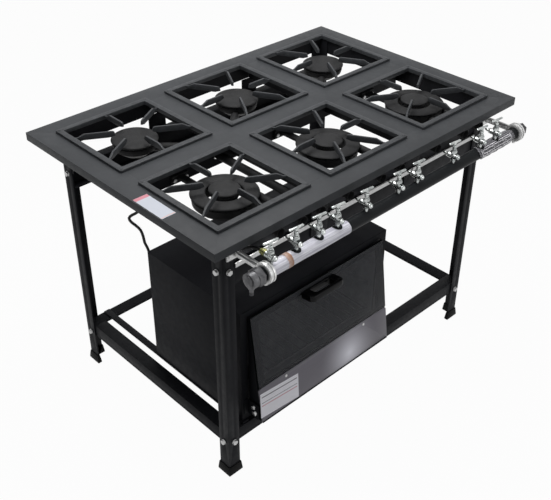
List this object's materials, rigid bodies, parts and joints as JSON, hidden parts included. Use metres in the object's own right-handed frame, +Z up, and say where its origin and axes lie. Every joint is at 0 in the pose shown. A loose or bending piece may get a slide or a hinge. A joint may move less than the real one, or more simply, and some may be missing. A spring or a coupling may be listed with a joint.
{
  "type": "commercial gas stove with oven",
  "caption": "Freestanding commercial gas cooktop on an angle-iron stand with square lift-off grates, a front gas pipe with valves and a hanging oven with a slanted glass door.",
  "frame": {"origin": "on the floor, under the middle of the box around the whole stove", "axes": "+Z up, -Y towards the cook (valves and oven door), +X to the cook's right"},
  "size_m": [1.146, 0.856, 0.8201],
  "materials": {
    "plate_paint": "satin",
    "stand_paint": "satin",
    "shoe_paint": "satin",
    "zinc": "zinc plated",
    "pipe_steel": "satin",
    "valve_plating": "satin plating",
    "brass": "turned",
    "burner_iron": "matt",
    "grate_iron": "painted satin",
    "oven_paint": "satin",
    "liner_enamel": "enamel",
    "rack_wire": "polished",
    "tube_steel": "satin",
    "door_glass": "tinted",
    "stainless": "satin",
    "handle_plastic": "gloss"
  },
  "bodies": {
    "stand": {"top_plate": "plate_paint", "plate_ribs": "stand_paint", "leg_front_left": "stand_paint", "leg_front_right": "stand_paint", "leg_rear_left": "stand_paint", "leg_rear_right": "stand_paint", "leg_shoes": "shoe_paint", "upper_rails": "stand_paint", "lower_rails": "stand_paint", "oven_bearers": "stand_paint", "burner_beam": "stand_paint", "front_tie_bar": "zinc", "frame_bolts": "zinc", "manifold_pipe": "pipe_steel", "manifold_brackets": "zinc", "inlet_elbow": "zinc", "end_plug": "zinc", "valve_bodies": "valve_plating", "valve_injectors": "brass", "single_burners": "burner_iron", "double_burners": "burner_iron", "oven_shell": "oven_paint", "oven_liner": "liner_enamel", "oven_front_frame": "oven_paint", "oven_floor": "liner_enamel", "oven_rack": "rack_wire", "oven_burner": "burner_iron", "oven_gas_tube": "tube_steel", "oven_gas_elbow": "brass", "hinge_brackets": "zinc"},
    "oven_door": {"door_frame": "oven_paint", "door_glass": "door_glass", "door_strip": "stainless", "door_handle": "handle_plastic", "door_screws": "zinc"},
    "valve_handle_1_body": {"valve_handle_1": "valve_plating"},
    "valve_handle_2_body": {"valve_handle_2": "valve_plating"},
    "valve_handle_3_body": {"valve_handle_3": "valve_plating"},
    "valve_handle_4_body": {"valve_handle_4": "valve_plating"},
    "valve_handle_5_body": {"valve_handle_5": "valve_plating"},
    "valve_handle_6_body": {"valve_handle_6": "valve_plating"},
    "valve_handle_7_body": {"valve_handle_7": "valve_plating"},
    "valve_handle_8_body": {"valve_handle_8": "valve_plating"},
    "valve_handle_9_body": {"valve_handle_9": "valve_plating"},
    "valve_handle_10_body": {"valve_handle_10": "valve_plating"},
    "single_cap_left_body": {"single_cap_left": "burner_iron"},
    "single_cap_middle_body": {"single_cap_middle": "burner_iron"},
    "single_cap_right_body": {"single_cap_right": "burner_iron"},
    "ring_cap_left_body": {"ring_cap_left": "burner_iron"},
    "ring_cap_middle_body": {"ring_cap_middle": "burner_iron"},
    "ring_cap_right_body": {"ring_cap_right": "burner_iron"},
    "inner_cap_left_body": {"inner_cap_left": "burner_iron"},
    "inner_cap_middle_body": {"inner_cap_middle": "burner_iron"},
    "inner_cap_right_body": {"inner_cap_right": "burner_iron"},
    "grate_front_left_body": {"grate_front_left": "grate_iron"},
    "grate_front_middle_body": {"grate_front_middle": "grate_iron"},
    "grate_front_right_body": {"grate_front_right": "grate_iron"},
    "grate_rear_left_body": {"grate_rear_left": "grate_iron"},
    "grate_rear_middle_body": {"grate_rear_middle": "grate_iron"},
    "grate_rear_right_body": {"grate_rear_right": "grate_iron"}
  },
  "joints": [
    {"name": "oven_door_hinge", "type": "hinge", "parent": "stand", "child": "oven_door", "pos_m": [-0.168, -0.317, 0.198], "axis": [1, 0, 0], "range_deg": [0, 90]},
    {"name": "valve_turn_1", "type": "hinge", "parent": "stand", "child": "valve_handle_1_body", "pos_m": [-0.451, -0.401, 0.796], "axis": [0, 0, 1], "range_deg": [0, 90]},
    {"name": "valve_turn_2", "type": "hinge", "parent": "stand", "child": "valve_handle_2_body", "pos_m": [-0.371, -0.401, 0.796], "axis": [0, 0, 1], "range_deg": [0, 90]},
    {"name": "valve_turn_3", "type": "hinge", "parent": "stand", "child": "valve_handle_3_body", "pos_m": [-0.296, -0.401, 0.796], "axis": [0, 0, 1], "range_deg": [0, 90]},
    {"name": "valve_turn_4", "type": "hinge", "parent": "stand", "child": "valve_handle_4_body", "pos_m": [-0.232, -0.401, 0.796], "axis": [0, 0, 1], "range_deg": [0, 90]},
    {"name": "valve_turn_5", "type": "hinge", "parent": "stand", "child": "valve_handle_5_body", "pos_m": [-0.13, -0.401, 0.796], "axis": [0, 0, 1], "range_deg": [0, 90]},
    {"name": "valve_turn_6", "type": "hinge", "parent": "stand", "child": "valve_handle_6_body", "pos_m": [-0.007, -0.401, 0.796], "axis": [0, 0, 1], "range_deg": [0, 90]},
    {"name": "valve_turn_7", "type": "hinge", "parent": "stand", "child": "valve_handle_7_body", "pos_m": [0.069, -0.401, 0.796], "axis": [0, 0, 1], "range_deg": [0, 90]},
    {"name": "valve_turn_8", "type": "hinge", "parent": "stand", "child": "valve_handle_8_body", "pos_m": [0.221, -0.401, 0.796], "axis": [0, 0, 1], "range_deg": [0, 90]},
    {"name": "valve_turn_9", "type": "hinge", "parent": "stand", "child": "valve_handle_9_body", "pos_m": [0.344, -0.401, 0.796], "axis": [0, 0, 1], "range_deg": [0, 90]},
    {"name": "valve_turn_10", "type": "hinge", "parent": "stand", "child": "valve_handle_10_body", "pos_m": [0.414, -0.401, 0.796], "axis": [0, 0, 1], "range_deg": [0, 90]},
    {"name": "single_cap_left_lift", "type": "slide", "parent": "stand", "child": "single_cap_left_body", "axis": [0, 0, 1], "range_m": [0, 0.007]},
    {"name": "single_cap_middle_lift", "type": "slide", "parent": "stand", "child": "single_cap_middle_body", "axis": [0, 0, 1], "range_m": [0, 0.007]},
    {"name": "single_cap_right_lift", "type": "slide", "parent": "stand", "child": "single_cap_right_body", "axis": [0, 0, 1], "range_m": [0, 0.007]},
    {"name": "ring_cap_left_lift", "type": "slide", "parent": "stand", "child": "ring_cap_left_body", "axis": [0, 0, 1], "range_m": [0, 0.012]},
    {"name": "ring_cap_middle_lift", "type": "slide", "parent": "stand", "child": "ring_cap_middle_body", "axis": [0, 0, 1], "range_m": [0, 0.012]},
    {"name": "ring_cap_right_lift", "type": "slide", "parent": "stand", "child": "ring_cap_right_body", "axis": [0, 0, 1], "range_m": [0, 0.012]},
    {"name": "inner_cap_left_lift", "type": "slide", "parent": "stand", "child": "inner_cap_left_body", "axis": [0, 0, 1], "range_m": [0, 0.05]},
    {"name": "inner_cap_middle_lift", "type": "slide", "parent": "stand", "child": "inner_cap_middle_body", "axis": [0, 0, 1], "range_m": [0, 0.05]},
    {"name": "inner_cap_right_lift", "type": "slide", "parent": "stand", "child": "inner_cap_right_body", "axis": [0, 0, 1], "range_m": [0, 0.05]},
    {"name": "grate_front_left_lift", "type": "slide", "parent": "stand", "child": "grate_front_left_body", "axis": [0, 0, 1], "range_m": [0, 0.06]},
    {"name": "grate_front_middle_lift", "type": "slide", "parent": "stand", "child": "grate_front_middle_body", "axis": [0, 0, 1], "range_m": [0, 0.06]},
    {"name": "grate_front_right_lift", "type": "slide", "parent": "stand", "child": "grate_front_right_body", "axis": [0, 0, 1], "range_m": [0, 0.06]},
    {"name": "grate_rear_left_lift", "type": "slide", "parent": "stand", "child": "grate_rear_left_body", "axis": [0, 0, 1], "range_m": [0, 0.06]},
    {"name": "grate_rear_middle_lift", "type": "slide", "parent": "stand", "child": "grate_rear_middle_body", "axis": [0, 0, 1], "range_m": [0, 0.06]},
    {"name": "grate_rear_right_lift", "type": "slide", "parent": "stand", "child": "grate_rear_right_body", "axis": [0, 0, 1], "range_m": [0, 0.06]}
  ]
}
